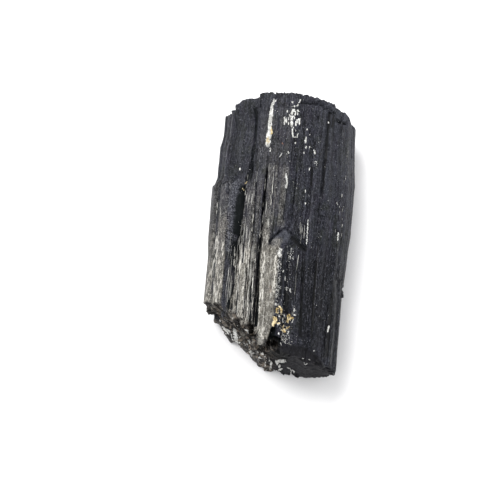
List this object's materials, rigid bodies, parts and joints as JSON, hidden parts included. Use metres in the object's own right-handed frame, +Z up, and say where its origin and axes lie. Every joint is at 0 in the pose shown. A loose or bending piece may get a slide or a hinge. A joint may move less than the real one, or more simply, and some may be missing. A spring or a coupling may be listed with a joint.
{
  "type": "tourmaline crystal",
  "caption": "Hand-sized broken prism of black tourmaline with deep grooves along it, a ragged end, a step on one side and specks of pale mica and ochre; a loose mineral specimen.",
  "frame": {"origin": "centre of the crystal's footprint, on the surface it rests on", "axes": "+Y along the crystal towards its square grown end, +Z up from the face it rests on, +X across to the right when seen from above with the grown end away"},
  "size_m": [0.0486, 0.0916, 0.0346],
  "materials": {
    "schorl": "natural prism faces, satin to vitreous, finely striated along the length; rough, glittery breaks",
    "pale_mica": "specks and streaks of white to cream mica and feldspar grown on the crystal",
    "iron_ochre": "dull yellow-brown crust of iron-stained grains"
  },
  "bodies": {
    "root": {"tourmaline_crystal": "schorl"}
  },
  "joints": []
}
